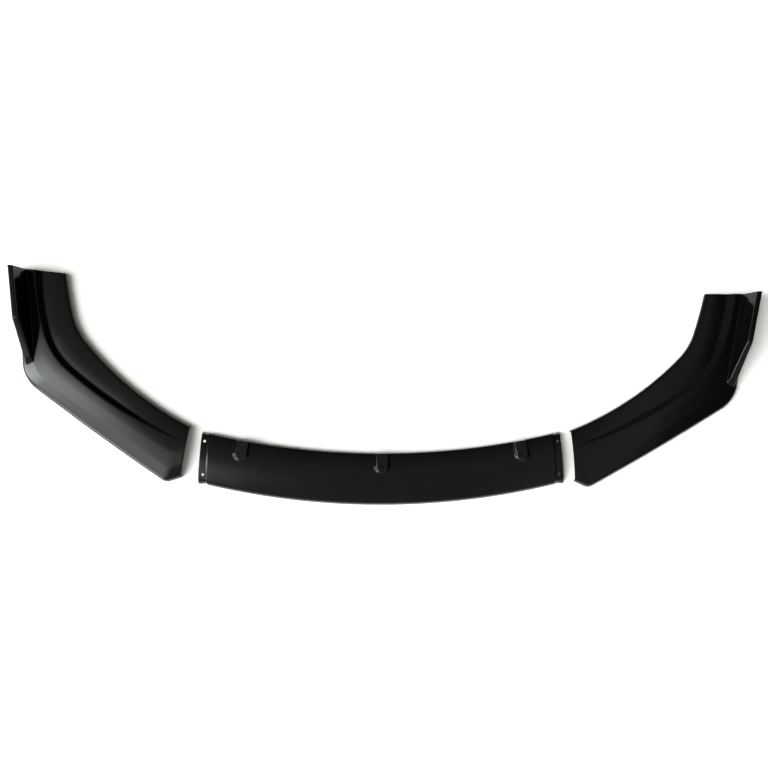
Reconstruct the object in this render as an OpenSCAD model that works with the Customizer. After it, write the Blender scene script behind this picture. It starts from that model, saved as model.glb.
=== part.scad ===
// Front splitter lip in three moulded sections: a centre section with joggled end tabs,
// and a left and a right section with a raised, tapering step and an upright end fin.
// X runs across the car, Y to its rear and Z up. The floor is at Z = 0.
// Every section is a thin shell, open underneath, as it leaves its mould.

/* [Shell] */
// Wall thickness of the mouldings
wall = 2.8; // [2:0.1:3]
// Height of the front edge, where the wall turns into the blade
edge_z = 14.5; // [12:0.5:18]
// Height of the back edge
back_z = 16.5; // [13:0.5:20]
// Rise of the blade's arch above the line from front edge to back edge
crown = 7; // [3:0.5:10]
// Distance that the front wall leans back over its height
edge_draft = 2; // [1:0.5:4]
// Distance that the back flange leans in over its height
flange_draft = 1; // [0.5:0.5:2]
// Length of the rounding on each side of the front edge
edge_round = 8; // [6:0.5:10]
// Length of the rounding on each side of the back edge
back_round = 5; // [4:0.5:6]

/* [Centre section] */
// Radius of the front and back edges in plan
arc_radius = 1840; // [1500:10:2500]
// Fore-and-aft depth of the blade
centre_depth = 123; // [110:1:140]
// Distance from the middle to the joint at the front edge
joint_x = 422; // [380:1:460]
// Angle of the joint line to the fore-and-aft direction
joint_slant = 2.2; // [0:0.1:4]
// Length of the end tab at the front edge
tab_front = 20.5; // [18:0.5:26]
// Length of the end tab at the back edge
tab_back = 16.5; // [15:0.5:22]
// Gap between the end tab and the skin that covers it
tab_clearance = 0.4; // [0.2:0.1:0.8]
// Diameter of the screw holes in the end tabs
tab_hole_d = 6.5; // [6.4:0.1:7]
// Distance of the tab holes from the joint line
tab_hole_inset = 9; // [8:0.5:10]
// Distance of the front tab hole from the front edge
tab_hole_front = 22; // [20:1:30]
// Distance between the two tab holes
tab_hole_spacing = 80; // [70:1:84]

/* [Mounting pads] */
// Distance from the middle to each outer pad
pad_x = 333; // [250:1:370]
// Width of a pad at its foot
pad_w = 36; // [30:1:44]
// Length of a pad from the back edge
pad_l = 50; // [40:1:60]
// Height of the flat pad tops above the floor
pad_z = 28; // [26:0.5:32]
// Width of the sloping sides of a pad
pad_bevel = 4.5; // [3:0.5:6]
// Distance of a pad's back face from the back edge
pad_back = 1.5; // [1.5:0.5:3]
// Diameter of the screw hole in each pad
pad_hole_d = 5; // [4:0.5:6]

/* [Side sections] */
// Distance from the joint to the rear end, fore and aft
side_y = 448.5; // [420:1:470]
// Angle at which the front edge leaves the joint
nose_angle = -26; // [-32:1:-20]
// Length of the front edge before the nose
nose_run = 28; // [24:1:34]
// Radius of the nose in plan
nose_radius = 22; // [15:1:30]
// Angle of the front edge behind the nose
front_angle = 26.5; // [24:0.5:28]
// Length of the front edge from the nose to the outer corner
front_run = 375.5; // [350:1:400]
// Turn of the front edge over that length
front_bow = 3; // [1:0.5:5]
// Radius of the outer corner in plan
corner_radius = 92; // [60:1:100]
// Angle of the outer side
outer_angle = 76; // [72:0.5:80]
// Angle at which the back edge leaves the joint
back_angle = 19.5; // [16:0.5:23]
// Turn of the back edge before its bend
back_turn = 23.5; // [18:0.5:28]
// Length of the back edge before its bend
back_run = 330; // [310:1:350]
// Turn of the bend in the back edge
bend_turn = 25; // [20:1:30]
// Length of the bend in the back edge
bend_run = 75; // [60:1:90]
// Turn of the back edge behind its bend
tail_turn = 12; // [0:0.5:16]
// Height of the flange's bottom edge along the side sections
flange_lift = 9; // [4:0.5:10]
// Angle at which the rear end leans forward
rear_rake = 4.5; // [0:0.5:9]
// Angle at which the rear end slants back towards the back edge
rear_slant = 2; // [0:0.5:4]

/* [Step] */
// Height of the step between the outer blade and the inner band
step_h = 10; // [6:0.5:11]
// Share of that height by which the outer blade is raised
step_lift = 0.4; // [0.2:0.05:0.6]
// Width of the riser at the rear end
riser_rear = 19; // [17:0.5:22]
// Width of the riser along the middle of the step
riser_mid = 13.5; // [13:0.5:16]
// Width of the rounding at each edge of the riser, as a share of the riser's width
riser_edge = 0.2; // [0.1:0.05:0.4]
// Distance of the step from the front edge at the joint
step_start = 80; // [76:1:86]
// Angle of the step at the joint
step_angle = 17; // [15:0.5:20]
// Length of the step before its bend
step_run = 335; // [315:1:350]
// Turn of the step before its bend
step_turn = 16; // [13:0.5:20]
// Length of the bend in the step
step_bend_run = 108; // [95:1:125]
// Turn of the bend in the step
step_bend_turn = 33; // [29:1:38]
// Turn of the step behind its bend
step_tail_turn = 20; // [15:0.5:25]

/* [Fin] */
// Height of the fin above the floor
fin_z = 75; // [60:1:90]
// Length of the fin at its foot
fin_l = 220; // [200:1:240]
// Length of the sloping front of the fin, with its blunt end
fin_slope_l = 93; // [70:1:120]
// Length of the blunt end
fin_blunt_l = 9; // [6:0.5:14]
// Height of the blunt end
fin_blunt_h = 11; // [8:0.5:16]
// Distance of the fin's top outer edge from the front edge
fin_lean = 13.5; // [12:0.5:16]
// Distance that the fin's outer face leans in at its blunt end
fin_blunt_lean = 2.5; // [1:0.5:3]
// Height above the floor at which the fin's outer face runs into the outer wall
fin_merge_z = 24; // [20:1:30]
// Thickness of the fin at its top edge
fin_top = 12; // [11:0.5:15]
// Distance by which the blunt end's top reaches further in than the fin's top behind the slope
fin_flare = 6; // [0:0.5:8]
// Distance that the fin's inner face spreads towards its foot
fin_spread = 8.5; // [5:0.5:12]
// Distance that the inner face spreads at the blunt end
fin_blunt_spread = 2.5; // [2:0.5:5]
// Length of the rounding on each side of the fin's top edges
fin_round = 3; // [2:0.5:5.5]
// Length of the fillet on each side of the fin's foot
fin_fillet = 2.5; // [2:0.5:6.5]

/* [Screw posts] */
// Diameter of the posts under the inner end, which pass through the tab holes
post_d = 6; // [5:0.1:6.2]
// Diameter of the pilot hole in a post
pilot_d = 2.9; // [2.5:0.1:3.2]
// Depth of the pilot hole
pilot_l = 7; // [5:0.5:7]
// Length of post that stands out below the tab
post_proud = 1.5; // [0.5:0.5:3]

/* [Layout] */
// Sideways gap opened at the left joint, from the fitted position
left_gap_x = 61; // [0:1:90]
// Rearward shift of the left section
left_gap_y = 18; // [0:1:40]
// Inward turn of the left section
left_turn = 7.4; // [0:0.1:10]
// Sideways gap opened at the right joint, from the fitted position
right_gap_x = 47; // [0:1:90]
// Rearward shift of the right section
right_gap_y = 7; // [0:1:40]
// Inward turn of the right section
right_turn = 1.7; // [0:0.1:10]
// Sideways place of the centre section's middle
set_x = -17; // [-50:0.5:50]
// Fore-and-aft place of the centre section's front edge
set_y = -286.5; // [-320:0.5:-240]

/* [Hidden] */
plastic = [0.05, 0.05, 0.05];
overlap = 20;
// Facets in a rounded corner, a fin's top edge, an arched blade, a rounded edge of the riser,
// a band and a drilled hole
round_steps = 3;
fin_steps = 2;
arch_steps = 9;
riser_steps = 2;
band_steps = 3;
hole_steps = 32;
// Stations along the centre section, and along a side section: at the joint, round the nose,
// along the front edge, round the corner, up the fin's blunt end, along its slope and behind it
centre_steps = 22;
side_steps = [2, 5, 11, 7, 2, 6, 7];
// Spacing of the points on a traced plan line, and the length traced behind the last bend
guide_step = 2;
tail_run = 225;
// Distance from the front edge at which the rounded part of the blade ends
blade_start = fin_lean + fin_top;
// Angles about the pivot over which the step fades in and the rear end's lean and slant fade out
fade_angle = 36;
rake_angle = 20;
// Angle about the pivot at which the fin's distance from it is taken
fin_angle = -5;
// Width of the riser at the joint, as a share of its width along the middle
riser_share = 0.4;
// Slope of the shoulder face, as a run along the blade
shoulder_run = 0.6;
// Shares of the wall by which the inner skin's roundings are shorter and its riser is shifted
edge_share = 0.8;
back_share = 0.9;
riser_shift = 0.4;
// Shortest rounding, rounding that is left where the fin has faded out, and the flat
// stretch of blade before the rounding of the back edge
least_round = 1;
seam_round = 0.8;
back_land = 2;
// Height at which the hollow under a pad starts
pad_hollow_z = 2;

// Small helpers
function smooth(t) = let (s = max(0, min(1, t))) s * s * (3 - 2 * s);
function mix(a, b, t) = a + (b - a) * t;
function unit(v) = v / norm(v);

// Rounded corner at v between p and q, which starts a before v and ends b behind it
function corner(p, v, q, a, b, n = round_steps) =
    let (s = v + a * unit(p - v), e = v + b * unit(q - v))
    [for (i = [0:n]) let (t = i / n) (1 - t) * (1 - t) * s + 2 * t * (1 - t) * v + t * t * e];

// End of an arc of length run[0] that turns by run[1] degrees
function arc_end(p, heading, run) =
    let (half = run[1] / 2, chord = half == 0 ? run[0] : run[0] * sin(half) / (half * PI / 180))
    p + chord * [cos(heading + half), sin(heading + half)];

// Points along a chain of arcs, about guide_step apart
function trail(p, heading, runs, i = 0) =
    i == len(runs) ? [p] :
    let (run = runs[i], n = ceil(run[0] / guide_step))
    concat([for (k = [0:n - 1]) arc_end(p, heading, run * k / n)],
        trail(arc_end(p, heading, run), heading + run[1], runs, i + 1));

// Point of the chain of arcs at which run number i starts
function run_start(p, heading, runs, i) =
    i == 0 ? p :
    let (rest = [for (k = [1:len(runs) - 1]) runs[k]])
    run_start(arc_end(p, heading, runs[0]), heading + runs[0][1], rest, i - 1);

// Plan lines of the centre section
function front_y(x) = arc_radius - sqrt(arc_radius * arc_radius - x * x);
function front_point(x) = [x, front_y(x)];
function back_point(x) = [x, front_y(x) + centre_depth];
joint_back_x = joint_x - centre_depth * tan(joint_slant);
joint = front_point(joint_x);
joint_back = back_point(joint_back_x) - joint;
joint_depth = norm(joint_back);
tab_fold = wall + tab_clearance;
shoulder_inset = 2 * wall + tab_fold;

// Place of tab hole number i from the joint's front corner, in the fitted position
joint_along = unit(joint_back);
joint_out = [joint_along.y, -joint_along.x];
function tab_hole(i) = joint_along * (tab_hole_front + i * tab_hole_spacing) + joint_out * tab_hole_inset;

// Height of the plain arched blade at share u of its depth
function arch(u) = edge_z + (back_z - edge_z) * u + 4 * crown * u * (1 - u);

// Front wall, arched blade and back flange, moved in by e: distance from the front edge, height
function plain_profile(depth, e) =
    let (
        lip = [edge_draft + e, edge_z - e],
        first = [blade_start, arch(blade_start / depth) - e],
        back = [depth - flange_draft - e, back_z - e],
        edge_trim = max(edge_round - edge_share * e, least_round),
        back_trim = max(back_round - back_share * e, least_round),
        last_d = back.x - back_round - back_land)
    concat(
        [[e, 0]],
        corner([e, 0], lip, first, edge_trim, edge_trim),
        [for (i = [0:arch_steps])
            let (d = mix(blade_start, last_d, i / arch_steps)) [d, arch(d / depth) - e]],
        corner([last_d, arch(last_d / depth) - e], back, [depth - e, 0], back_trim, back_trim),
        [[depth - e, 0]]);

// Ring of the centre section between its plan lines, with the profile moved in by e
function centre_ring(front_x, back_x, e) =
    let (f = front_point(front_x), b = back_point(back_x), along = unit(b - f))
    [for (p = plain_profile(norm(b - f), e)) let (q = f + along * p[0]) [q.x, q.y, p[1]]];

// Right half of the stations: front x, back x, inset of the outer skin, inset of the inner skin
half_stations = concat(
    [for (i = [1:centre_steps / 2 - 1])
        let (t = i / (centre_steps / 2)) [joint_x * t, joint_back_x * t, 0, wall]],
    [
        [joint_x - shoulder_inset, joint_back_x - shoulder_inset, 0, wall],
        [joint_x - wall, joint_back_x - wall, 0, tab_fold + wall],
        [joint_x - shoulder_run, joint_back_x - shoulder_run, 0, tab_fold + wall],
        [joint_x, joint_back_x, tab_fold, tab_fold + wall],
        [joint_x + tab_front, joint_back_x + tab_back, tab_fold, tab_fold + wall]
    ]);
half_count = len(half_stations);
stations = concat(
    [for (i = [half_count - 1:-1:0]) let (s = half_stations[i]) [-s[0], -s[1], s[2], s[3]]],
    [[0, 0, 0, wall]],
    half_stations);

// Shell between matching rings of an outer and an inner skin. Its first end is open,
// and its last end is open too or closed by a wall.
module shell(outer, inner, closed_end) {
    rings = len(outer);
    m = len(outer[0]);
    last = rings - 1;
    function o(k, i) = k * m + i;
    function n(k, i) = (rings + k) * m + i;
    skin = [for (k = [0:rings - 2], i = [0:m - 2]) each [
        [o(k, i), o(k + 1, i + 1), o(k + 1, i)], [o(k, i), o(k, i + 1), o(k + 1, i + 1)],
        [n(k, i), n(k + 1, i), n(k + 1, i + 1)], [n(k, i), n(k + 1, i + 1), n(k, i + 1)]]];
    rims = [for (k = [0:rings - 2]) each [
        [o(k, 0), o(k + 1, 0), n(k + 1, 0), n(k, 0)],
        [o(k, m - 1), n(k, m - 1), n(k + 1, m - 1), o(k + 1, m - 1)]]];
    first_end = [for (i = [0:m - 2]) [o(0, i), n(0, i), n(0, i + 1), o(0, i + 1)]];
    open_end = [for (i = [0:m - 2]) [o(last, i), o(last, i + 1), n(last, i + 1), n(last, i)]];
    wall_end = [
        [for (i = [0:m - 1]) o(last, i)],
        [for (i = [m - 1:-1:0]) n(last, i)],
        [o(last, 0), o(last, m - 1), n(last, m - 1), n(last, 0)]];
    polyhedron(
        points = concat([for (ring = outer) each ring], [for (ring = inner) each ring]),
        faces = concat(skin, rims, first_end, closed_end ? wall_end : open_end),
        convexity = 8);
}

// Plan lines of a side section, from the joint's front corner, which is its own origin
nose_turn = front_angle - nose_angle;
corner_turn = outer_angle - front_angle - front_bow;
front_runs = [
    [nose_run, 0],
    [nose_radius * nose_turn * PI / 180, nose_turn],
    [front_run, front_bow],
    [corner_radius * corner_turn * PI / 180, corner_turn],
    [side_y, 0]];
back_runs = [[back_run, back_turn], [bend_run, bend_turn], [tail_run, tail_turn]];
step_runs = [[step_run, step_turn], [step_bend_run, step_bend_turn], [tail_run, step_tail_turn]];
pivot = side_y * [-tan(joint_slant), 1];
start_angle = joint_slant - 90;
function seen(p) = atan2(p.y - pivot.y, p.x - pivot.x);
function polar(points) = [for (p = points) [seen(p), norm(p - pivot)]];
front_table = polar(trail([0, 0], nose_angle, front_runs));
back_table = polar(trail(joint_back, back_angle, back_runs));
step_table = polar(trail(joint_along * step_start, step_angle, step_runs));
function front_r(a) = lookup(a, front_table);
function back_r(a) = lookup(a, back_table);
function step_r(a) = lookup(a, step_table);

// Angles about the pivot of the fin's tip, the top of its blunt end and the end of its slope
fin_r = front_r(fin_angle) - blade_start;
function fin_seen(behind) = -asin((fin_l - behind) / fin_r);
tip_angle = fin_seen(0);
blunt_angle = fin_seen(fin_blunt_l);
kink_angle = fin_seen(fin_slope_l);

// Share of the fin's full height that is reached at angle a
function fin_rise(a) = lookup(fin_l + fin_r * sin(a),
    [[0, 0], [fin_blunt_l, fin_blunt_h / (fin_z - edge_z)], [fin_slope_l, 1]]);

// The step fades in from the joint, and its riser widens towards the rear end
function step_share(a) = smooth((a - start_angle) / fade_angle);
function riser_w(a) =
    mix(riser_mid, riser_rear, smooth(1 - a / tip_angle)) * mix(riser_share, 1, step_share(a));
function flange_z(a) = flange_lift * smooth((a - start_angle) / fade_angle);

// Share of the step's height that lies above the riser at share t of its width, which has a flat
// face and rounded edges
function ramp(t) =
    let (s = max(0, min(1, t)), steepest = 1 / (1 - riser_edge))
    s < riser_edge ? steepest * s * s / (2 * riser_edge) :
    s > 1 - riser_edge ? 1 - steepest * (1 - s) * (1 - s) / (2 * riser_edge) :
    steepest * (s - riser_edge / 2);
riser_stops = concat(
    [for (i = [0:riser_steps]) riser_edge * i / riser_steps],
    [for (i = [riser_steps:-1:0]) 1 - riser_edge * i / riser_steps]);

// Height at distance d of the straight line from the edge to the blade, which starts at start_z
function edge_line(start_z, d) = mix(edge_z, start_z, (d - edge_draft) / (blade_start - edge_draft));

// Height of a side section's blade at distance d from the front edge
function blade_z(a, d, shift = 0) =
    let (
        depth = front_r(a) - back_r(a),
        middle = front_r(a) - step_r(a) - shift,
        u = d / depth,
        um = middle / depth,
        h = step_h * step_share(a),
        low = ramp((d - middle) / riser_w(a) + 0.5))
    arch(u) + h * ((1 - low) * step_lift * u / um - low * (1 - step_lift) * (1 - u) / (1 - um));

// Profile of a side section at angle a, moved in by e: rounded edge, fin, blade, step, band and
// flange. Where there is no fin, its points lie on the blade.
function side_profile(a, e) =
    let (
        depth = front_r(a) - back_r(a),
        shift = riser_shift * e,
        rise = fin_rise(a),
        stand = min(1, rise * (fin_z - edge_z) / fin_blunt_h),
        climb = (rise * (fin_z - edge_z) - fin_blunt_h) / (fin_z - edge_z - fin_blunt_h),
        merge = smooth(climb),
        flare = step_share(a) * min(1, 1 - climb),
        start_z = blade_z(a, blade_start),
        inner_d = blade_start + fin_flare * flare,
        foot_d = inner_d + mix(fin_spread, fin_blunt_spread, flare),
        base_d = fin_lean - fin_blunt_lean,
        wall_slope = fin_lean / fin_z,
        lip = [mix(edge_draft, wall_slope * edge_z, merge) + e, edge_z - e * (1 - merge)],
        base = [
            mix(base_d, wall_slope * fin_merge_z, merge) + e,
            mix(edge_line(start_z, base_d) - e, fin_merge_z, merge)],
        outer = [fin_lean + e, mix(edge_line(start_z, fin_lean), fin_z, rise) - e],
        inner = [inner_d - e * stand, mix(blade_z(a, inner_d), fin_z, rise) - e],
        foot = [foot_d - e * stand, blade_z(a, foot_d) - e],
        middle = front_r(a) - step_r(a) - shift,
        w = riser_w(a),
        crest_d = middle - w / 2,
        band_d = middle + w / 2,
        back = [depth - flange_draft - e, back_z - e],
        last_d = back.x - back_round - back_land,
        edge_trim = max(edge_round - edge_share * e, least_round),
        top_trim = mix(seam_round, max(fin_round - edge_share * e, least_round), stand),
        foot_trim = mix(seam_round, fin_fillet + edge_share * e, stand),
        back_trim = max(back_round - back_share * e, least_round),
        end = [depth - e, flange_z(a)],
        after_foot = (foot_d + crest_d) / 2)
    concat(
        [[e, 0]],
        corner([e, 0], lip, base, edge_trim, min(edge_trim, norm(base - lip) - seam_round)),
        [base],
        corner(base, outer, inner, top_trim, top_trim, fin_steps),
        corner(outer, inner, foot, top_trim, top_trim, fin_steps),
        corner(inner, foot, [after_foot, blade_z(a, after_foot, shift) - e], foot_trim, foot_trim),
        [[after_foot, blade_z(a, after_foot, shift) - e]],
        [for (t = riser_stops) let (d = mix(crest_d, band_d, t)) [d, blade_z(a, d, shift) - e]],
        [for (i = [1:band_steps])
            let (d = mix(band_d, last_d, i / band_steps)) [d, blade_z(a, d, shift) - e]],
        corner([last_d, blade_z(a, last_d) - e], back, end, back_trim, back_trim),
        [end]);

// Ring of a side section at angle a. The rings lean and slant more and more towards the rear end.
function side_ring(a, e, forward = 0) =
    let (near_end = smooth(1 + a / rake_angle), lean = tan(rear_rake), slant = tan(rear_slant))
    [for (p = side_profile(a, e))
        let (q = pivot + (front_r(a) - p[0]) * [cos(a), sin(a)])
        [q.x, q.y - forward + near_end * (slant * p[0] - lean * p[1]), p[1]]];

// Angles of the rings: closer together round the nose, the bend and the fin's sloping front
function front_seen(i) = seen(run_start([0, 0], nose_angle, front_runs, i));
side_stops = [
    start_angle, front_seen(1), front_seen(2), front_seen(3), tip_angle, blunt_angle, kink_angle, 0];
side_angles = concat(
    [for (k = [0:len(side_steps) - 1], i = [0:side_steps[k] - 1])
        mix(side_stops[k], side_stops[k + 1], i / side_steps[k])],
    [0]);
ring_count = len(side_angles);

// Screw post under the inner end of a side section, which goes through tab hole number i
// and ends inside the skin above it
post_tip_z = edge_z - tab_fold - wall - post_proud;
function post_top_z(p) = let (a = seen(p)) blade_z(a, front_r(a) - norm(p - pivot)) - wall / 2;
module post_place(i) {
    p = tab_hole(i);
    translate([p.x, p.y, post_tip_z]) children();
}

module side_section() {
    last = ring_count - 1;
    difference() {
        union() {
            shell(
                [for (a = side_angles) side_ring(a, 0)],
                [for (i = [0:last]) side_ring(side_angles[i], wall, i == last ? wall : 0)],
                true);
            for (i = [0:1]) post_place(i)
                cylinder(d = post_d, h = post_top_z(tab_hole(i)) - post_tip_z, $fn = hole_steps);
        }
        for (i = [0:1]) post_place(i)
            translate([0, 0, -overlap]) cylinder(d = pilot_d, h = overlap + pilot_l, $fn = hole_steps);
    }
}

// Raised pad on the back edge, moved in by e on its sides and top: a U-shaped frustum
// with its round end forward
module pad_body(e, bottom) {
    foot_z = arch(1 - pad_l / centre_depth);
    top_z = pad_z - e;
    top_r = pad_w / 2 - pad_bevel - e;
    bottom_r = top_r + pad_bevel * (top_z - bottom) / (pad_z - foot_z);
    intersection() {
        hull() for (y = [pad_w / 2 - pad_l, 0]) translate([0, y, bottom])
            cylinder(r1 = bottom_r, r2 = top_r, h = top_z - bottom, $fn = hole_steps);
        translate([-pad_w, -2 * pad_l - pad_back - e, 0]) cube([2 * pad_w, 2 * pad_l, pad_z]);
    }
}

module pad_place(x) {
    p = back_point(x);
    translate([p.x, p.y, 0]) rotate([0, 0, asin(x / arc_radius)]) children();
}

module centre_section() {
    color(plastic) translate([set_x, set_y, 0]) difference() {
        union() {
            shell(
                [for (s = stations) centre_ring(s[0], s[1], s[2])],
                [for (s = stations) centre_ring(s[0], s[1], s[3])],
                false);
            for (i = [-1:1]) pad_place(i * pad_x) pad_body(0, back_z - wall / 2);
        }
        for (i = [-1:1]) pad_place(i * pad_x) {
            pad_body(wall, pad_hollow_z);
            translate([0, pad_w / 2 - pad_l, 0])
                cylinder(d = pad_hole_d, h = pad_z + overlap, $fn = hole_steps);
        }
        for (side = [0:1], i = [0:1]) mirror([side, 0, 0]) translate(joint)
            translate(tab_hole(i)) cylinder(d = tab_hole_d, h = pad_z, $fn = hole_steps);
    }
}

module right_section() {
    color(plastic) translate([set_x + joint.x + right_gap_x, set_y + joint.y + right_gap_y, 0])
        rotate([0, 0, right_turn]) side_section();
}

module left_section() {
    color(plastic) translate([set_x, set_y, 0]) mirror([1, 0, 0])
        translate([joint.x + left_gap_x, joint.y + left_gap_y, 0])
        rotate([0, 0, left_turn]) side_section();
}

left_section();
centre_section();
right_section();
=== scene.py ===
"""A gloss black front splitter lip, moulded in three sections and laid out on a white floor.

Lengths are in millimetres until a mesh is made. The three sections are lofted from the same plan
lines and profiles as the solids, with finer steps, rounded edges, true fillets, and front walls and
tabs that spread towards their feet.
"""

import math

import bmesh
import bpy
import numpy as np
from mathutils import Matrix, Vector


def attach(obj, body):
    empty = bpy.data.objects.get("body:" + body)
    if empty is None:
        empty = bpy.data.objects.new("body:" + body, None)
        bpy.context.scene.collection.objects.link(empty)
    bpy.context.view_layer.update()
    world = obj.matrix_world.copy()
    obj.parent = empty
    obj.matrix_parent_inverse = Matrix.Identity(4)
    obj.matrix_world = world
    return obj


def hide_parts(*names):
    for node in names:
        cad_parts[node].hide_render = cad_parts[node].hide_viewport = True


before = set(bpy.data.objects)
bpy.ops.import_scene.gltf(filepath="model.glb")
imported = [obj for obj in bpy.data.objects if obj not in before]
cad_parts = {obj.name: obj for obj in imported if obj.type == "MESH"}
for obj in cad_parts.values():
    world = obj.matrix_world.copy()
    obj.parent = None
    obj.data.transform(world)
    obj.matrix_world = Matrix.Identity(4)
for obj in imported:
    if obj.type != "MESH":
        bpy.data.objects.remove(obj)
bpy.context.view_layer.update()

MM = 0.001

# Shell
WALL = 2.8
EDGE_Z = 14.5
BACK_Z = 16.5
CROWN = 7.0
EDGE_DRAFT = 2.0
FOOT_FLARE = 3.0
FOOT_FLARE_WIDTH = 12.0
FLANGE_DRAFT = 1.0
EDGE_ROUND = 8.0
BACK_ROUND = 5.0
RIM_ROUND = 0.5

# Centre section
ARC_RADIUS = 1840.0
CENTRE_DEPTH = 123.0
JOINT_X = 422.0
JOINT_SLANT = 2.2
TAB_FRONT = 20.5
TAB_BACK = 16.5
TAB_CLEARANCE = 0.4
TAB_HOLE_D = 6.5
TAB_HOLE_INSET = 9.0
TAB_HOLE_FRONT = 22.0
TAB_HOLE_SPACING = 80.0
TAB_FOLD = WALL + TAB_CLEARANCE
TAB_FLARE_FRONT = 5.5
TAB_FLARE_BACK = 4.5
TAB_FLARE_WIDTH = 8.0

# Mounting pads
PAD_X = 333.0
PAD_W = 36.0
PAD_L = 50.0
PAD_Z = 28.0
PAD_BEVEL = 4.5
PAD_BACK = 1.5
PAD_HOLE_D = 5.0
PAD_TOP_ROUND = 1.2
PAD_FOOT_ROUND = 2.0
PAD_BACK_SLOPE = 4.0

# Side sections
SIDE_Y = 448.5
NOSE_ANGLE = -26.0
NOSE_RUN = 28.0
NOSE_RADIUS = 22.0
FRONT_ANGLE = 26.5
FRONT_RUN = 375.5
FRONT_BOW = 3.0
CORNER_RADIUS = 92.0
OUTER_ANGLE = 76.0
BACK_ANGLE = 19.5
BACK_TURN = 23.5
BACK_RUN = 330.0
BEND_TURN = 25.0
BEND_RUN = 75.0
TAIL_TURN = 12.0
TAIL_RUN = 225.0
FLANGE_LIFT = 9.0
REAR_RAKE = 4.5
REAR_SLANT = 2.0

# Step
STEP_H = 10.0
STEP_LIFT = 0.4
RISER_REAR = 19.0
RISER_MID = 13.5
RISER_EDGE = 0.2
RISER_SHARE = 0.4
STEP_START = 80.0
STEP_ANGLE = 17.0
STEP_RUN = 335.0
STEP_TURN = 16.0
STEP_BEND_RUN = 108.0
STEP_BEND_TURN = 33.0
STEP_TAIL_TURN = 20.0
FADE_ANGLE = 36.0
RAKE_ANGLE = 20.0

# Fin
FIN_Z = 75.0
FIN_L = 220.0
FIN_SLOPE_L = 93.0
FIN_BLUNT_L = 9.0
FIN_BLUNT_H = 11.0
FIN_LEAN = 13.5
FIN_BLUNT_LEAN = 2.5
FIN_MERGE_Z = 24.0
FIN_TOP = 12.0
FIN_FLARE = 6.0
FIN_SPREAD = 8.5
FIN_BLUNT_SPREAD = 2.5
FIN_ROUND = 3.0
FIN_FILLET = 2.5
FIN_ANGLE = -5.0
FIN_SOFTNESS = 3.0
BASE_FILLET = 1.5
END_LAND = 6.5
BLADE_START = FIN_LEAN + FIN_TOP

# Screw posts
POST_D = 6.0
PILOT_D = 2.9
PILOT_L = 7.0
POST_PROUD = 1.5

# Layout
LEFT_GAP = (61.0, 18.0)
LEFT_TURN = 7.4
RIGHT_GAP = (47.0, 7.0)
RIGHT_TURN = 1.7
SET_X = -17.0
SET_Y = -286.5

# Shares of the wall by which the inner skin's roundings are shorter and its riser is shifted
EDGE_SHARE = 0.8
BACK_SHARE = 0.9
RISER_SHIFT = 0.4

# Limits of roundings: the least one, one that only joins two faces, the flat land kept before the
# back edge, and shares of the lengths of the faces below the fin
LEAST_ROUND = 1.0
SEAM_ROUND = 0.8
BACK_LAND = 2.0
LIP_SHARE = 0.9
OUTER_SHARE = 1 / 3

# Steps and spacings of the meshes
PLAN_SPACING = 0.5
FIN_SAMPLES = 41
ROUND_STEPS = 8
BASE_STEPS = 4
BLADE_STEPS = 6
BAND_STEPS = 12
RIM_STEPS = 3
RISER_STEPS = 8
HOLE_STEPS = 48
SIDE_STEPS = (6, 20, 110, 40, 14, 44, 50)
CENTRE_SPACING = 3.5
PAD_SPACING = 0.8
PAD_REACH = 27.0
PAD_LEAN = 9.0
FRONT_LINES = 14
SHOULDER_LAND = 10.0
SHOULDER_RUN = 1.1
SHOULDER_EASE = 0.5
SHOULDER_STEPS = 9
TAB_STEPS = 8
# Distance before an end and inset of the rings that round it, outside and inside
END_ROUND = ((0.5, 0.0), (0.15, 0.15), (0.0, 0.5))
INNER_ROUND = ((1.0, 0.0), (0.3, 0.3), (0.0, 1.0))
REAR_ROUND = 2.0
REAR_STEPS = 6

# Angle between faces above which their edge stays sharp, and the chamfer of a drilled hole
SHARP_ANGLE = 35.0
HOLE_CHAMFER = 0.3

# Plastic: tones, roughness, and pairs of a relief's scale per metre and its height in metres
PLASTIC_IOR = 1.41
TONE_SCALE = 6.0
TONE_DETAIL = 4
ROUGHNESS_SCALE = 11.0
ROUGHNESS_DETAIL = 6
ROUGHNESS_GRIT = 0.6
GRAIN_DETAIL = 2
PLAIN_GRIT = 0.5
NOISE_LOW = 0.3
NOISE_HIGH = 0.7
GLOSS_TONES = ((0.0018, 0.0018, 0.0018), (0.0028, 0.0028, 0.0026))
GLOSS_ROUGHNESS = (0.10, 0.17)
GLOSS_GRAINS = ((14.0, 0.00004), (90.0, 0.000004), (700.0, 0.0000008))
SATIN_TONES = ((0.004, 0.004, 0.004), (0.007, 0.007, 0.007))
SATIN_ROUGHNESS = (0.40, 0.52)
SATIN_GRAINS = ((20.0, 0.00008), (1400.0, 0.000006))

# Floor: its width in metres, the tone that lights the object and the tone that shows
FLOOR_SIZE = 60.0
FLOOR_TONE = 0.9
FLOOR_SHOWN = (1.53, 1.45, 1.44)

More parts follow.
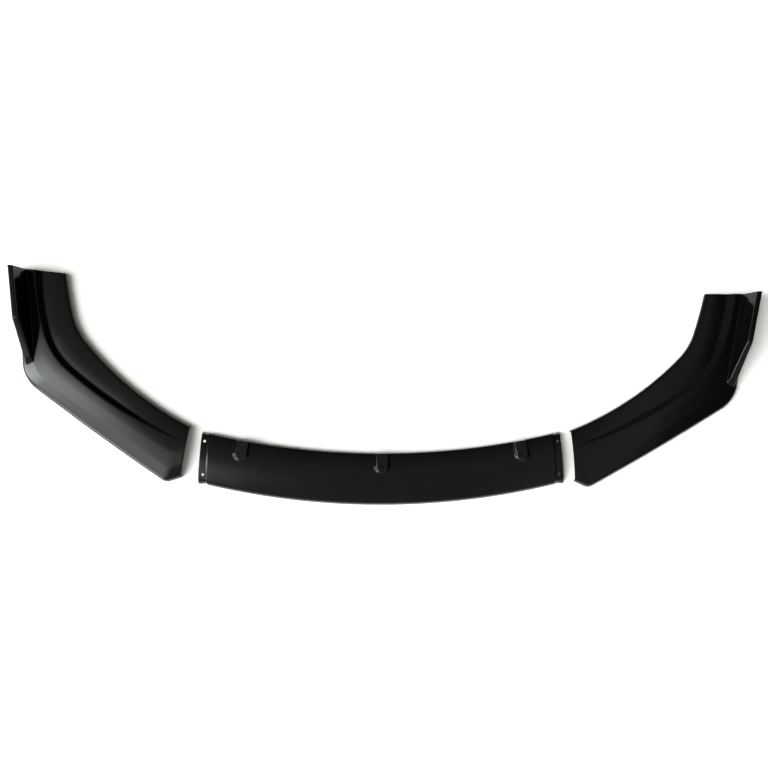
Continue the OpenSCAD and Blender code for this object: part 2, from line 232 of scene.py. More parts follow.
# Surroundings: parts that add up, each a colour and ramps that multiply. A ramp is an azimuth and
# elevation, the range of a direction's component along it, and the brightness at the range's ends.
# The floor is lit by their sum at about the level at which a colour renders as it is written.
KEY_AZIMUTH = 189.0
FRONT_AZIMUTH = 249.5
LOW_AZIMUTH = 224.0
ROOM_COLOUR = (1.0, 0.99, 0.93)
KEY_COLOUR = (0.94, 1.0, 0.99)
HORIZON = ((0, 90), (0.1, 0.36), (0.0, 1.0))
ROOM_RAMPS = (
    ((0, 0), (-0.44, 0.15), (0.45, 0.31)),
    ((90, 0), (-0.05, 0.5), (1.0, 0.3)),
    ((0, 0), (0.2, 0.42), (1.0, 1.4)),
    ((17, 0), (0.37, 0.49), (1.0, 0.1)),
)
KEY_RAMPS = (
    ((KEY_AZIMUTH, 0), (0.33, 0.8), (0.0, 27.0)),
    ((KEY_AZIMUTH + 90, 0), (-0.25, 0.21), (1.0, 0.0)),
    ((KEY_AZIMUTH + 90, 0), (-0.2, 0.03), (0.0, 1.0)),
    HORIZON,
)
FRONT_RAMPS = (
    ((FRONT_AZIMUTH, 0), (0.05, 0.4), (0.0, 3.1)),
    ((FRONT_AZIMUTH, 0), (0.55, 0.85), (1.0, 0.25)),
    ((FRONT_AZIMUTH + 90, 0), (-0.31, -0.03), (1.0, 0.0)),
    HORIZON,
)
LOW_RAMPS = (
    ((LOW_AZIMUTH, 0), (0.7, 0.88), (0.0, 9.0)),
    ((LOW_AZIMUTH + 90, 0), (0.1, 0.28), (1.0, 0.0)),
    ((LOW_AZIMUTH + 90, 0), (-0.32, -0.14), (0.0, 1.0)),
    ((0, 90), (0.2, 0.4), (1.0, 0.0)),
)

# Camera: the photograph's frame, the pixel straight below the camera, and its place
SENSOR = 36.0
PICTURE_PX = 768
FOCAL_PX = 725.0
NADIR_PX = (364, 446)
CAMERA_PLACE = (-60.8, -146.8, 1776.0)


def smooth(t):
    s = np.clip(t, 0, 1)
    return s * s * (3 - 2 * s)


def mix(a, b, t):
    return a + (b - a) * t


def soft_max(a, b, k):
    """The larger of a and b, blended by a fillet about k long where they cross."""
    h = np.maximum(k - np.abs(a - b), 0) / k
    return np.maximum(a, b) + h * h * k / 4


def corner(p, v, q, a, b, steps=ROUND_STEPS):
    """Rounded corner at v between p and q, which starts a before v and ends b behind it."""
    p, v, q = (np.asarray(w, float) for w in (p, v, q))
    s = v + a * (p - v) / np.linalg.norm(p - v)
    e = v + b * (q - v) / np.linalg.norm(q - v)
    t = np.linspace(0, 1, steps + 1)[:, None]
    return (1 - t) ** 2 * s + 2 * t * (1 - t) * v + t * t * e


def arc_end(p, heading, length, turn):
    half = math.radians(turn) / 2
    chord = length if half == 0 else length * math.sin(half) / half
    angle = math.radians(heading) + half
    return np.array([p[0] + chord * math.cos(angle), p[1] + chord * math.sin(angle)])


def trail(p, heading, runs):
    """Points along a chain of arcs, and the point at which each arc starts."""
    points, starts = [], []
    for length, turn in runs:
        starts.append(p)
        n = math.ceil(length / PLAN_SPACING)
        points += [arc_end(p, heading, length * k / n, turn * k / n) for k in range(n)]
        p = arc_end(p, heading, length, turn)
        heading += turn
    return np.array(points + [p]), starts


# Plan lines of the centre section
def front_y(x):
    return ARC_RADIUS - math.sqrt(ARC_RADIUS * ARC_RADIUS - x * x)


def front_point(x):
    return np.array([x, front_y(x)])


def back_point(x):
    return np.array([x, front_y(x) + CENTRE_DEPTH])


JOINT = front_point(JOINT_X)
JOINT_BACK_X = JOINT_X - CENTRE_DEPTH * math.tan(math.radians(JOINT_SLANT))
JOINT_BACK = back_point(JOINT_BACK_X) - JOINT
JOINT_ALONG = JOINT_BACK / np.linalg.norm(JOINT_BACK)
JOINT_OUT = np.array([JOINT_ALONG[1], -JOINT_ALONG[0]])


def tab_hole(i):
    """Place of tab hole i from the joint's front corner, in the fitted position."""
    return JOINT_ALONG * (TAB_HOLE_FRONT + i * TAB_HOLE_SPACING) + JOINT_OUT * TAB_HOLE_INSET


def arch(u):
    return EDGE_Z + (BACK_Z - EDGE_Z) * u + 4 * CROWN * u * (1 - u)


# Plan lines of a side section, from the joint's front corner
NOSE_TURN = FRONT_ANGLE - NOSE_ANGLE
CORNER_TURN = OUTER_ANGLE - FRONT_ANGLE - FRONT_BOW
FRONT_RUNS = [
    (NOSE_RUN, 0),
    (NOSE_RADIUS * math.radians(NOSE_TURN), NOSE_TURN),
    (FRONT_RUN, FRONT_BOW),
    (CORNER_RADIUS * math.radians(CORNER_TURN), CORNER_TURN),
    (SIDE_Y, 0),
]
BACK_RUNS = [(BACK_RUN, BACK_TURN), (BEND_RUN, BEND_TURN), (TAIL_RUN, TAIL_TURN)]
STEP_RUNS = [(STEP_RUN, STEP_TURN), (STEP_BEND_RUN, STEP_BEND_TURN), (TAIL_RUN, STEP_TAIL_TURN)]
PIVOT = SIDE_Y * np.array([-math.tan(math.radians(JOINT_SLANT)), 1])
START_ANGLE = JOINT_SLANT - 90


def seen(p):
    """Angle in degrees at which a point is seen from the pivot."""
    return math.degrees(math.atan2(p[1] - PIVOT[1], p[0] - PIVOT[0]))


def polar(points):
    away = points - PIVOT
    return np.degrees(np.arctan2(away[:, 1], away[:, 0])), np.hypot(away[:, 0], away[:, 1])


FRONT_TRAIL, FRONT_STARTS = trail(np.zeros(2), NOSE_ANGLE, FRONT_RUNS)
FRONT_TABLE = polar(FRONT_TRAIL)
BACK_TABLE = polar(trail(JOINT_BACK, BACK_ANGLE, BACK_RUNS)[0])
STEP_TABLE = polar(trail(JOINT_ALONG * STEP_START, STEP_ANGLE, STEP_RUNS)[0])


def front_r(a):
    return float(np.interp(a, *FRONT_TABLE))


def back_r(a):
    return float(np.interp(a, *BACK_TABLE))


def step_r(a):
    return float(np.interp(a, *STEP_TABLE))


FIN_R = front_r(FIN_ANGLE) - BLADE_START


def fin_seen(behind):
    """Angle about the pivot of a point of the fin, given how far it lies behind the tip."""
    return -math.degrees(math.asin((FIN_L - behind) / FIN_R))


TIP_ANGLE = fin_seen(0)
BLUNT_ANGLE = fin_seen(FIN_BLUNT_L)
KINK_ANGLE = fin_seen(FIN_SLOPE_L)
FIN_FULL_H = FIN_Z - EDGE_Z


def fin_rise(a):
    """Share of the fin's full height at an angle, with its bends rounded by an average."""
    behind = FIN_L + FIN_R * math.sin(math.radians(a))
    near = behind + np.linspace(-FIN_SOFTNESS, FIN_SOFTNESS, FIN_SAMPLES)
    share = np.interp(near, [0, FIN_BLUNT_L, FIN_SLOPE_L], [0, FIN_BLUNT_H / FIN_FULL_H, 1])
    return float(np.mean(share))


def fade(a):
    return float(smooth((a - START_ANGLE) / FADE_ANGLE))


RISER_STOPS = np.concatenate([
    np.linspace(0, RISER_EDGE, RISER_STEPS),
    np.linspace(RISER_EDGE, 1 - RISER_EDGE, RISER_STEPS)[1:-1],
    np.linspace(1 - RISER_EDGE, 1, RISER_STEPS),
])


def riser_w(a):
    full_w = mix(RISER_MID, RISER_REAR, float(smooth(1 - a / TIP_ANGLE)))
    return full_w * mix(RISER_SHARE, 1, fade(a))


def edge_line(start_z, d):
    """Height of the straight line from the edge to the blade, which starts at start_z."""
    return mix(EDGE_Z, start_z, (d - EDGE_DRAFT) / (BLADE_START - EDGE_DRAFT))


def ramp(t):
    """Share of the step's height at share t of its riser: a flat face with rounded edges."""
    s = np.clip(t, 0, 1)
    away = np.minimum(s, 1 - s)
    steepest = 1 / (1 - RISER_EDGE)
    edge = np.where(
        away < RISER_EDGE,
        steepest * away * away / (2 * RISER_EDGE),
        steepest * (away - RISER_EDGE / 2),
    )
    return np.where(s < 0.5, edge, 1 - edge)


def blade_z(a, d, shift=0.0):
    """Height of a side section's blade at distance d from the front edge."""
    d = np.asarray(d, float)
    depth = front_r(a) - back_r(a)
    middle = front_r(a) - step_r(a) - shift
    u, um = d / depth, middle / depth
    low = ramp((d - middle) / riser_w(a) + 0.5)
    rise = (1 - low) * STEP_LIFT * u / um - low * (1 - STEP_LIFT) * (1 - u) / (1 - um)
    return arch(u) + STEP_H * fade(a) * rise


def line(d, z):
    return np.column_stack([d, z])


def flared(profile, share=1.0):
    """Profile whose front wall spreads towards its foot."""
    d, z = profile.T
    near_front = 1 - smooth((d - EDGE_DRAFT) / FOOT_FLARE_WIDTH)
    spread = FOOT_FLARE * share * near_front * np.maximum(0, 1 - z / EDGE_Z)
    return line(d - spread, z)


def side_profile(a, e):
    """Profile of a side section at angle a, moved in by e: distance from the front edge, height.

    Edge, fin, blade, step, band and flange. Where there is no fin, its points lie on the blade.
    """
    depth = front_r(a) - back_r(a)
    shift = RISER_SHIFT * e
    rise = fin_rise(a)
    fin_h = rise * FIN_FULL_H
    stand = min(1.0, fin_h / FIN_BLUNT_H)
    climb = (fin_h - FIN_BLUNT_H) / (FIN_FULL_H - FIN_BLUNT_H)
    merge = float(smooth(climb))
    flare = fade(a) * min(1.0, 1 - climb)
    start_z = float(blade_z(a, BLADE_START))
    inner_d = BLADE_START + FIN_FLARE * flare
    foot_d = inner_d + mix(FIN_SPREAD, FIN_BLUNT_SPREAD, flare)
    base_d = FIN_LEAN - FIN_BLUNT_LEAN
    wall_slope = FIN_LEAN / FIN_Z
    lip = np.array([mix(EDGE_DRAFT, wall_slope * EDGE_Z, merge) + e, EDGE_Z - e * (1 - merge)])
    base = np.array([
        mix(base_d, wall_slope * FIN_MERGE_Z, merge) + e,
        mix(edge_line(start_z, base_d) - e, FIN_MERGE_Z, merge),
    ])
    outer = np.array([FIN_LEAN + e, mix(edge_line(start_z, FIN_LEAN), FIN_Z, rise) - e])
    inner_z = mix(float(blade_z(a, inner_d)), FIN_Z, rise)
    inner = np.array([inner_d - e * stand, inner_z - e])
    foot = np.array([foot_d - e * stand, float(blade_z(a, foot_d)) - e])
    middle = front_r(a) - step_r(a) - shift
    w = riser_w(a)
    crest_d, band_d = middle - w / 2, middle + w / 2
    back = (depth - FLANGE_DRAFT - e, BACK_Z - e)
    last_d = back[0] - BACK_ROUND - BACK_LAND
    edge_trim = max(EDGE_ROUND - EDGE_SHARE * e, LEAST_ROUND)
    lip_trim = min(edge_trim, np.linalg.norm(base - lip) - SEAM_ROUND)
    base_trim = min(
        mix(SEAM_ROUND, BASE_FILLET, stand),
        (np.linalg.norm(base - lip) - lip_trim) * LIP_SHARE,
        np.linalg.norm(outer - base) * OUTER_SHARE,
    )
    top_trim = mix(SEAM_ROUND, max(FIN_ROUND - EDGE_SHARE * e, LEAST_ROUND), stand)
    foot_trim = mix(SEAM_ROUND, FIN_FILLET + EDGE_SHARE * e, stand)
    back_trim = max(BACK_ROUND - BACK_SHARE * e, LEAST_ROUND)
    end = (depth - e, FLANGE_LIFT * fade(a))
    after_d = mix(foot_d, crest_d, 0.5)
    after = (after_d, float(blade_z(a, after_d, shift)) - e)
    blade_d = np.linspace(after_d, crest_d, BLADE_STEPS, endpoint=False)
    riser_d = mix(crest_d, band_d, RISER_STOPS)
    rest_d = np.linspace(band_d, last_d, BAND_STEPS + 1)[1:]
    land_d = np.concatenate([blade_d, riser_d, rest_d])
    profile = np.vstack([
        [(e, 0)],
        corner((e, 0), lip, base, edge_trim, lip_trim),
        corner(lip, base, outer, base_trim, base_trim, BASE_STEPS),
        corner(base, outer, inner, top_trim, top_trim),
        corner(outer, inner, foot, top_trim, top_trim),
        corner(inner, foot, after, foot_trim, foot_trim),
        line(land_d, blade_z(a, land_d, shift) - e),
        corner((last_d, float(blade_z(a, last_d)) - e), back, end, back_trim, back_trim),
        [end],
    ])
    return flared(profile, 1 - stand)


def placed(loop, start, along, forward=0.0, lean=0.0, slant=0.0):
    """A loop of a profile in plan, from start along a direction, as points in space."""
    d, z = loop[:, 0], loop[:, 1]
    q = start + d[:, None] * along
    return np.column_stack([q[:, 0], q[:, 1] - forward + slant * d - lean * z, z])


def rim_loop(outer, inner):
    """Closed loop round a wall: its outer skin, then its inner skin backwards, rims rounded."""
    rim = (RIM_ROUND, RIM_ROUND, RIM_STEPS)
    return np.vstack([
        corner(inner[0], outer[0], outer[1], *rim),
        outer[1:-1],
        corner(outer[-2], outer[-1], inner[-1], *rim),
        corner(outer[-1], inner[-1], inner[-2], *rim),
        inner[-2:0:-1],
        corner(inner[1], inner[0], outer[0], *rim),
    ])


def side_ring(a, outer_e=0.0, inner_e=WALL, forward=0.0):
    """Ring of a side section at angle a, which leans and slants more towards the rear end."""
    away = np.array([math.cos(math.radians(a)), math.sin(math.radians(a))])
    near_end = float(smooth(1 + a / RAKE_ANGLE))
    lean = math.tan(math.radians(REAR_RAKE)) * near_end
    slant = math.tan(math.radians(REAR_SLANT)) * near_end
    loop = rim_loop(side_profile(a, outer_e), side_profile(a, inner_e))
    return placed(loop, PIVOT + front_r(a) * away, -away, forward, lean, slant)


def side_angles():
    """Angles of a side section's rings, closer together round the nose, the corner and the fin."""
    stops = [START_ANGLE, *(seen(p) for p in FRONT_STARTS[1:4]), TIP_ANGLE, BLUNT_ANGLE, KINK_ANGLE]
    stops.append(-math.degrees(END_LAND / FIN_R))
    parts = [
        np.linspace(first, last, steps, endpoint=False)
        for first, last, steps in zip(stops, stops[1:], SIDE_STEPS)
    ]
    return np.concatenate([*parts, stops[-1:]])


# The centre section, with its pads
def pad_height(x, y, e):
    """Height of the pads' frustums over points of the blade, moved in by e."""
    foot_z = arch(1 - PAD_L / CENTRE_DEPTH)
    top_z = PAD_Z - e
    top_r = PAD_W / 2 - PAD_BEVEL - e
    best = np.full(np.shape(y), -PAD_Z)
    for i in (-1, 0, 1):
        foot = back_point(i * PAD_X)
        turn = math.asin(i * PAD_X / ARC_RADIUS)
        u = (x - foot[0]) * math.cos(turn) + (y - foot[1]) * math.sin(turn)
        v = (y - foot[1]) * math.cos(turn) - (x - foot[0]) * math.sin(turn)
        straight = v + PAD_L - PAD_W / 2
        away = np.hypot(u, np.minimum(straight, 0))
        back_share = np.clip(straight / (PAD_L - PAD_W / 2), 0, 1)
        steepness = mix((PAD_Z - foot_z) / PAD_BEVEL, PAD_BACK_SLOPE, back_share)
        slope = top_z - (away - top_r) * steepness
        best = np.maximum(best, -soft_max(-top_z, -slope, PAD_TOP_ROUND))
    return best


PAD_FRONT_D = CENTRE_DEPTH - PAD_L - PAD_FOOT_ROUND
LAST_D = CENTRE_DEPTH - FLANGE_DRAFT - BACK_ROUND - WALL
BLADE_LINES = np.concatenate([
    np.linspace(BLADE_START, PAD_FRONT_D, FRONT_LINES, endpoint=False),
    np.linspace(PAD_FRONT_D, LAST_D, math.ceil((LAST_D - PAD_FRONT_D) / PAD_SPACING)),
])


def centre_profile(front, along, depth, e):
    """Profile of the centre section, moved in by e: edge, arched blade with pads, back flange."""

    def pads(d):
        return pad_height(front[0] + along[0] * d, front[1] + along[1] * d, e)

    d = BLADE_LINES * depth / CENTRE_DEPTH
    z = soft_max(arch(d / depth) - e, pads(d), PAD_FOOT_ROUND)
    lip = (EDGE_DRAFT + e, EDGE_Z - e)
    edge_trim = max(EDGE_ROUND - EDGE_SHARE * e, LEAST_ROUND)
    pad_d = depth - PAD_BACK - e
    pad_z = float(pads(pad_d))
    raised = max(0.0, min(1.0, (pad_z - (BACK_Z - e)) / PAD_BEVEL))
    back = (mix(depth - FLANGE_DRAFT - e, pad_d, raised), max(BACK_Z - e, pad_z))
    back_trim = mix(max(BACK_ROUND - BACK_SHARE * e, LEAST_ROUND), PAD_TOP_ROUND, raised)
    return flared(np.vstack([
        [(e, 0)],
        corner((e, 0), lip, (d[0], z[0]), edge_trim, edge_trim),
        line(d, z),
        corner((d[-1], z[-1]), back, (depth - e, 0), back_trim, back_trim),
        [(depth - e, 0)],
    ]))


def centre_ring(front_x, back_x, outer_e=0.0, inner_e=WALL):
    """Ring of the centre section. The walls of its end tabs flare out at the foot."""
    front, away = front_point(front_x), back_point(back_x) - front_point(front_x)
    depth = float(np.linalg.norm(away))
    along = away / depth
    outer = centre_profile(front, along, depth, outer_e)
    inner = centre_profile(front, along, depth, inner_e)
    loop = rim_loop(outer, inner)
    share = max(0.0, (abs(front_x) - JOINT_X) / TAB_FRONT)
    low = share * np.maximum(0, 1 - loop[:, 1] / (EDGE_Z - TAB_FOLD))
    at_front = 1 - smooth((loop[:, 0] - EDGE_DRAFT) / TAB_FLARE_WIDTH)
    at_back = 1 - smooth((depth - FLANGE_DRAFT - loop[:, 0]) / TAB_FLARE_WIDTH)
    loop[:, 0] += low * (TAB_FLARE_BACK * at_back - TAB_FLARE_FRONT * at_front)
    return placed(loop, front, along)


def half_stations():
    """Right half of the stations: front x, back x, outer inset, inner inset."""
    back_share = JOINT_BACK_X / JOINT_X
    x, plain = 0.0, []
    while x < JOINT_X - SHOULDER_LAND:
        plain.append((x, x * back_share, 0.0, WALL))
        at_pad = x < PAD_REACH or PAD_X - PAD_REACH < x * back_share < PAD_X + PAD_REACH + PAD_LEAN
        x += PAD_SPACING if at_pad else CENTRE_SPACING
    rise = WALL + TAB_FOLD
    shoulder = np.concatenate([
        np.linspace(-SHOULDER_LAND, -SHOULDER_RUN, SHOULDER_STEPS, endpoint=False),
        np.linspace(-SHOULDER_RUN, SHOULDER_EASE, SHOULDER_STEPS),
    ])
    folded = [
        (
            JOINT_X + u,
            JOINT_BACK_X + u,
            TAB_FOLD * float(smooth((u + SHOULDER_RUN) / (SHOULDER_RUN + SHOULDER_EASE))),
            WALL + TAB_FOLD * float(smooth((u + WALL + rise) / rise)),
        )
        for u in shoulder
    ]
    tab = [
        (JOINT_X + TAB_FRONT * u, JOINT_BACK_X + TAB_BACK * u, TAB_FOLD, TAB_FOLD + WALL)
        for u in np.linspace(SHOULDER_EASE / TAB_FRONT, 1, TAB_STEPS)[1:-1]
    ]
    tab += [
        (
            JOINT_X + TAB_FRONT - back,
            JOINT_BACK_X + TAB_BACK - back,
            TAB_FOLD + inset,
            TAB_FOLD + WALL - inset,
        )
        for back, inset in END_ROUND
    ]
    return plain + folded + tab


# Meshes
def quads(rows, closed):
    """Faces between rows of vertex numbers that lie side by side, round each row if closed."""
    rows = np.asarray(rows)
    a, b = rows[:-1], rows[1:]
    if not closed:
        made = np.stack([a[:, :-1], a[:, 1:], b[:, 1:], b[:, :-1]], -1)
    else:
        made = np.stack([a, np.roll(a, -1, 1), np.roll(b, -1, 1), b], -1)
    return made


def skin_marks(columns, strips):
    """Material numbers of the faces round each ring: outer skin 0, inner skin 1."""
    inner = np.arange(columns) >= columns // 2 + RIM_STEPS
    inner &= np.arange(columns) < columns - RIM_STEPS - 1
    return np.tile(inner.astype(int), strips)


def end_cap(loop):
    """Faces that close the wall at an open end of a shell."""
    half = len(loop) // 2
    outer, inner = loop[:half], loop[half:][::-1]
    return [(outer[i], outer[i + 1], inner[i + 1], inner[i]) for i in range(half - 1)]


def solid(name, points, faces, marks, mirrored=False):
    """Object made of a closed mesh, given in millimetres."""
    points = np.array(points) * MM
    if mirrored:
        points[:, 0] *= -1
    mesh = bpy.data.meshes.new(name)
    mesh.from_pydata(points.tolist(), [], [tuple(int(i) for i in face) for face in faces])
    for material in (GLOSS, SATIN):
        mesh.materials.append(material)
    mesh.polygons.foreach_set("material_index", np.asarray(marks, dtype=np.int32))
    bm = bmesh.new()
    bm.from_mesh(mesh)
    bmesh.ops.recalc_face_normals(bm, faces=bm.faces)
    bm.to_mesh(mesh)
    bm.free()
    obj = bpy.data.objects.new(name, mesh)
    bpy.context.scene.collection.objects.link(obj)
    return obj


def open_shell(name, rings):
    """Shell whose two ends are both open."""
    columns = len(rings[0])
    rows = np.arange(len(rings) * columns).reshape(len(rings), columns)
    faces = [*quads(rows, True).reshape(-1, 4), *end_cap(rows[0]), *end_cap(rows[-1])]
    marks = skin_marks(columns, len(rings) - 1)
    caps = np.zeros(len(faces) - len(marks), dtype=int)
    return solid(name, np.vstack(rings), faces, np.concatenate([marks, caps]))


def closed_shell(name, rings, mirrored, place):
    """Shell whose first end is open and whose last end is closed by a wall."""
    columns = len(rings[0])
    half = columns // 2
    points = list(rings)
    rows = np.arange(len(rings) * columns).reshape(len(rings), columns)
    count = rows.size
    outer_rows, inner_rows = [rows[-1][:half]], [rows[-1][half:]]
    for turn in np.linspace(0, math.pi / 2, REAR_STEPS):
        forward, inset = REAR_ROUND * (1 - math.sin(turn)), REAR_ROUND * (1 - math.cos(turn))
        points.append(side_ring(0, outer_e=inset, forward=forward)[:half])
        outer_rows.append(np.arange(count, count + half))
        count += half
    for forward, inset in INNER_ROUND:
        points.append(side_ring(0, inner_e=WALL + inset, forward=WALL + forward)[half:])
        inner_rows.append(np.arange(count, count + half))
        count += half
    skin = [
        quads(rows, True).reshape(-1, 4),
        quads(outer_rows, False).reshape(-1, 4),
        quads(inner_rows, False).reshape(-1, 4),
    ]
    front_leg = [r[0] for r in outer_rows] + [r[-1] for r in inner_rows[::-1]]
    back_leg = [r[-1] for r in outer_rows] + [r[0] for r in inner_rows[::-1]]
    outer_end, inner_end = outer_rows[-1], inner_rows[-1]
    sill = (outer_end[0], outer_end[-1], inner_end[0], inner_end[-1])
    faces = [*skin[0], *skin[1], *skin[2], *end_cap(rows[0])]
    marks = np.concatenate([
        skin_marks(columns, len(rings) - 1),
        np.zeros(len(skin[1]), dtype=int),
        np.ones(len(skin[2]), dtype=int),
        np.zeros(half - 1, dtype=int),
        [0, 0, 0, 0, 1],
    ])
    faces += [front_leg, back_leg, sill, outer_end, inner_end]
    where = np.vstack(points)
    where[:, :2] = place(where[:, :2])
    return solid(name, where, faces, marks, mirrored)


def rod(name, place, bottom_z, top_z, diameter, mark, chamfer=0.0):
    """Upright round rod, with a cone of the given width at its top end if it has a chamfer."""
    r = diameter / 2
    levels = [(r, bottom_z), (r, top_z)]
    if chamfer:
        levels = [(r, bottom_z), (r, top_z - chamfer), (r + 2 * chamfer, top_z + chamfer)]
    turns = np.linspace(0, 2 * math.pi, HOLE_STEPS, endpoint=False)
    circle = np.column_stack([np.cos(turns), np.sin(turns)])
    points = np.vstack([
        np.column_stack([place + radius * circle, np.full(HOLE_STEPS, z)]) for radius, z in levels
    ])
    rows = np.arange(len(points)).reshape(len(levels), HOLE_STEPS)
    faces = [*quads(rows, True).reshape(-1, 4), rows[0], rows[-1]]
    return solid(name, points, faces, np.full(len(faces), mark))


def carve(obj, tools, operation):
    """Join tools to an object, or cut them out of it, and delete them."""
    for tool in tools:
        modifier = obj.modifiers.new(tool.name, "BOOLEAN")
        modifier.operation = operation
        modifier.solver = "MANIFOLD"
        modifier.object = tool
    graph = bpy.context.evaluated_depsgraph_get()
    made = bpy.data.meshes.new_from_object(obj.evaluated_get(graph))
    obj.modifiers.clear()
    old, obj.data = obj.data, made
    bpy.data.meshes.remove(old)
    for tool in tools:
        mesh = tool.data
        bpy.data.objects.remove(tool)
        bpy.data.meshes.remove(mesh)


def finished(obj, node):
    """Smooth an object's skin, hide the part it stands for and let it ride."""
    mesh = obj.data
    mesh.polygons.foreach_set("use_smooth", np.ones(len(mesh.polygons), dtype=bool))
    mesh.set_sharp_from_angle(angle=math.radians(SHARP_ANGLE))
    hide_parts(node)
    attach(obj, "root")


def make_centre():
    right = half_stations()
    left = [(-front_x, -back_x, *insets) for front_x, back_x, *insets in right[:0:-1]]
    rings = [centre_ring(*station) + (SET_X, SET_Y, 0) for station in left + right]
    obj = open_shell("centre_lip", rings)
    shift = np.array([SET_X, SET_Y])
    holes = []
    for i in (-1, 0, 1):
        foot = back_point(i * PAD_X)
        turn = math.asin(i * PAD_X / ARC_RADIUS)
        inward = PAD_L - PAD_W / 2
        place = shift + foot + inward * np.array([math.sin(turn), -math.cos(turn)])
        holes.append(rod(f"pad_cut_{i + 1}", place, 0, PAD_Z, PAD_HOLE_D, 0, HOLE_CHAMFER))
    for side in (-1, 1):
        for i in (0, 1):
            place = (JOINT + tab_hole(i)) * (side, 1) + shift
            holes.append(rod(f"tab_cut_{side + 1}_{i}", place, 0, PAD_Z, TAB_HOLE_D, 0))
    carve(obj, holes, "DIFFERENCE")
    finished(obj, "centre_section")


def make_side(name, node, gap, turn, mirrored):
    """A left or right section, laid out beside the centre section."""
    start = JOINT + gap
    cos, sin = math.cos(math.radians(turn)), math.sin(math.radians(turn))
    spin = np.array([[cos, -sin], [sin, cos]])
    shift = start + (-SET_X if mirrored else SET_X, SET_Y)

    def place(points):
        return points @ spin.T + shift

    angles = side_angles()
    turn_in = math.degrees(1 / np.linalg.norm(PIVOT))
    rings = [
        side_ring(angles[0] + distance * turn_in, inset, WALL - inset)
        for distance, inset in END_ROUND[::-1]
    ]
    rings += [side_ring(a) for a in angles[1:]]
    obj = closed_shell(name, rings, mirrored, place)
    posts, pilots = [], []
    for i in (0, 1):
        p = tab_hole(i)
        a = seen(p)
        d = front_r(a) - np.linalg.norm(p - PIVOT)
        bottom_z = EDGE_Z - TAB_FOLD - WALL - POST_PROUD
        top_z = float(blade_z(a, d)) - WALL / 2
        at = place(p[None])[0] * (-1 if mirrored else 1, 1)
        posts.append(rod(f"{name}_post_{i}", at, bottom_z, top_z, POST_D, 1))
        pilots.append(rod(f"{name}_pilot_{i}", at, 0, bottom_z + PILOT_L, PILOT_D, 1))
    carve(obj, posts, "UNION")
    carve(obj, pilots, "DIFFERENCE")
    finished(obj, node)


# Materials
def noise(tree, scale, detail, grit=PLAIN_GRIT):
    """Noise texture over the object's own coordinates."""
    place = tree.nodes.new("ShaderNodeTexCoord")
    texture = tree.nodes.new("ShaderNodeTexNoise")
    texture.inputs["Scale"].default_value = scale
    texture.inputs["Detail"].default_value = detail
    texture.inputs["Roughness"].default_value = grit
    tree.links.new(place.outputs["Object"], texture.inputs["Vector"])
    return texture.outputs["Fac"]


def remap(tree, value, low, high):
    """A noise value spread over the range from low to high."""
    node = tree.nodes.new("ShaderNodeMapRange")
    node.inputs["From Min"].default_value = NOISE_LOW
    node.inputs["From Max"].default_value = NOISE_HIGH
    node.inputs["To Min"].default_value = low
    node.inputs["To Max"].default_value = high
    tree.links.new(value, node.inputs["Value"])
    return node.outputs["Result"]


def mottle(tree, value, first, second):
    """Colour that drifts between two tones."""
    node = tree.nodes.new("ShaderNodeMix")
    node.data_type = "RGBA"
    node.inputs["A"].default_value = (*first, 1)
    node.inputs["B"].default_value = (*second, 1)
    tree.links.new(remap(tree, value, 0, 1), node.inputs["Factor"])
    return node.outputs["Result"]


def relief(tree, value, height, below=None):
    """Bump of a height in metres, on top of another bump."""
    node = tree.nodes.new("ShaderNodeBump")
    node.inputs["Distance"].default_value = height
    tree.links.new(value, node.inputs["Height"])
    if below:
        tree.links.new(below, node.inputs["Normal"])
    return node.outputs["Normal"]


def plastic(name, tones, roughness, grains):
    """Black plastic with drifting tone and roughness, and a relief of several scales.

    Grains are pairs of a noise scale per metre and a height in metres.
    """
    material = bpy.data.materials.new(name)
    material.use_nodes = True
    tree = material.node_tree
    shader = tree.nodes["Principled BSDF"]
    shader.inputs["IOR"].default_value = PLASTIC_IOR
    tone = mottle(tree, noise(tree, TONE_SCALE, TONE_DETAIL), *tones)
    tree.links.new(tone, shader.inputs["Base Color"])
    drift = noise(tree, ROUGHNESS_SCALE, ROUGHNESS_DETAIL, ROUGHNESS_GRIT)
    rough = remap(tree, drift, *roughness)
    tree.links.new(rough, shader.inputs["Roughness"])
    normal = None
    for scale, height in grains:
        normal = relief(tree, noise(tree, scale, GRAIN_DETAIL), height, normal)
    tree.links.new(normal, shader.inputs["Normal"])
    return material


GLOSS = plastic("gloss_black", GLOSS_TONES, GLOSS_ROUGHNESS, GLOSS_GRAINS)
SATIN = plastic("satin_black", SATIN_TONES, SATIN_ROUGHNESS, SATIN_GRAINS)


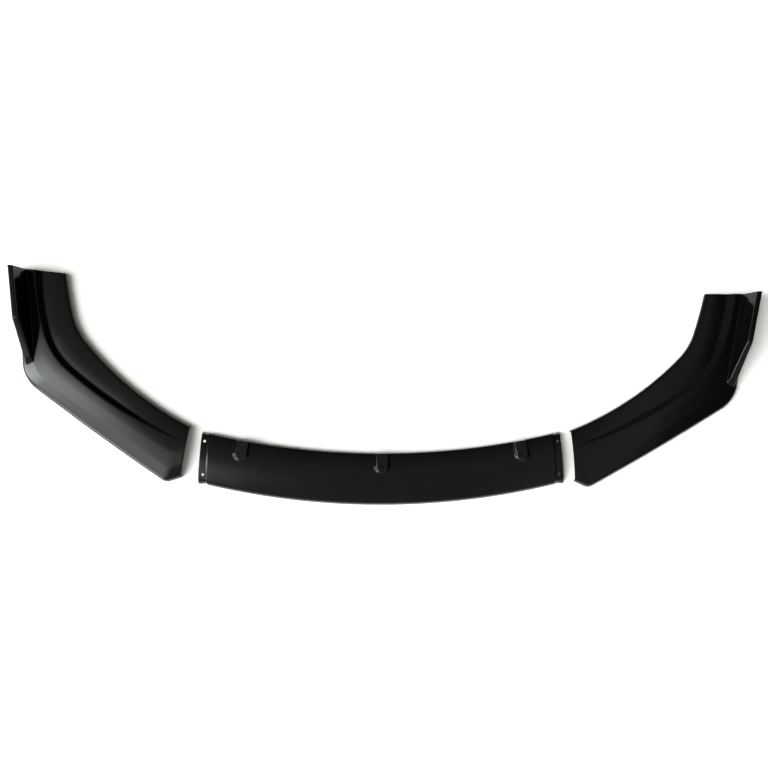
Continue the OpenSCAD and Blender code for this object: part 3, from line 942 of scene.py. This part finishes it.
# Floor, light and camera
def make_floor():
    mesh = bpy.data.meshes.new("floor")
    r = FLOOR_SIZE / 2
    mesh.from_pydata([(-r, -r, 0), (r, -r, 0), (r, r, 0), (-r, r, 0)], [], [(0, 1, 2, 3)])
    obj = bpy.data.objects.new("floor", mesh)
    bpy.context.scene.collection.objects.link(obj)
    material = bpy.data.materials.new("white_floor")
    material.use_nodes = True
    tree = material.node_tree
    tree.nodes.remove(tree.nodes["Principled BSDF"])
    shader = tree.nodes.new("ShaderNodeBsdfDiffuse")
    tone = tree.nodes.new("ShaderNodeMix")
    tone.data_type = "RGBA"
    tone.clamp_factor = True
    tone.inputs["A"].default_value = (FLOOR_TONE, FLOOR_TONE, FLOOR_TONE, 1)
    tone.inputs["B"].default_value = (*FLOOR_SHOWN, 1)
    path = tree.nodes.new("ShaderNodeLightPath")
    shown = path.outputs["Is Camera Ray"]
    for ray in ("Is Glossy Ray", "Is Transmission Ray"):
        either = tree.nodes.new("ShaderNodeMath")
        tree.links.new(shown, either.inputs[0])
        tree.links.new(path.outputs[ray], either.inputs[1])
        shown = either.outputs["Value"]
    tree.links.new(shown, tone.inputs["Factor"])
    tree.links.new(tone.outputs["Result"], shader.inputs["Color"])
    tree.links.new(shader.outputs["BSDF"], tree.nodes["Material Output"].inputs["Surface"])
    mesh.materials.append(material)


def ramp_node(tree, place, toward, reach, tones):
    """Brightness that runs smoothly between two tones over a range of directions."""
    along = tree.nodes.new("ShaderNodeVectorMath")
    along.operation = "DOT_PRODUCT"
    azimuth, height = (math.radians(angle) for angle in toward)
    level = math.cos(height)
    axis = (math.cos(azimuth) * level, math.sin(azimuth) * level, math.sin(height))
    along.inputs[1].default_value = axis
    tree.links.new(place, along.inputs[0])
    fall = tree.nodes.new("ShaderNodeMapRange")
    fall.interpolation_type = "SMOOTHSTEP"
    for name, value in zip(("From Min", "From Max", "To Min", "To Max"), (*reach, *tones)):
        fall.inputs[name].default_value = value
    tree.links.new(along.outputs["Value"], fall.inputs["Value"])
    return fall.outputs["Result"]


def make_world():
    """A dim room with a tall window on the left, and a soft light and a low one in front."""
    world = bpy.data.worlds.new("surroundings")
    bpy.context.scene.world = world
    world.use_nodes = True
    tree = world.node_tree
    place = tree.nodes.new("ShaderNodeTexCoord").outputs["Generated"]
    total = None
    for colour, ramps in (
        (ROOM_COLOUR, ROOM_RAMPS),
        (KEY_COLOUR, KEY_RAMPS),
        (KEY_COLOUR, FRONT_RAMPS),
        (KEY_COLOUR, LOW_RAMPS),
    ):
        tone = ramp_node(tree, place, *ramps[0])
        for ramp in ramps[1:]:
            product = tree.nodes.new("ShaderNodeMath")
            product.operation = "MULTIPLY"
            tree.links.new(tone, product.inputs[0])
            tree.links.new(ramp_node(tree, place, *ramp), product.inputs[1])
            tone = product.outputs["Value"]
        tinted = tree.nodes.new("ShaderNodeVectorMath")
        tinted.operation = "SCALE"
        tinted.inputs[0].default_value = colour
        tree.links.new(tone, tinted.inputs["Scale"])
        part = tinted.outputs["Vector"]
        if total:
            both = tree.nodes.new("ShaderNodeVectorMath")
            tree.links.new(total, both.inputs[0])
            tree.links.new(part, both.inputs[1])
            part = both.outputs["Vector"]
        total = part
    tree.links.new(total, tree.nodes["Background"].inputs["Color"])


def make_camera():
    """Camera that looks nearly straight down, at the photograph's angle."""
    data = bpy.data.cameras.new("camera")
    data.sensor_width = SENSOR
    data.lens = SENSOR * FOCAL_PX / PICTURE_PX
    obj = bpy.data.objects.new("camera", data)
    bpy.context.scene.collection.objects.link(obj)
    half = PICTURE_PX / 2
    nadir = Vector(((NADIR_PX[0] - half) / FOCAL_PX, (half - NADIR_PX[1]) / FOCAL_PX, -1))
    up = -nadir.normalized()
    right = Vector((1, 0, 0))
    right = (right - up * up.dot(right)).normalized()
    turn = Matrix((right, up.cross(right), up))
    obj.matrix_world = Matrix.Translation(Vector(CAMERA_PLACE) * MM) @ turn.to_4x4()
    bpy.context.scene.camera = obj


make_centre()
make_side("left_lip", "left_section", LEFT_GAP, LEFT_TURN, mirrored=True)
make_side("right_lip", "right_section", RIGHT_GAP, RIGHT_TURN, mirrored=False)
make_floor()
make_world()
make_camera()
bpy.context.scene.view_settings.view_transform = "Standard"
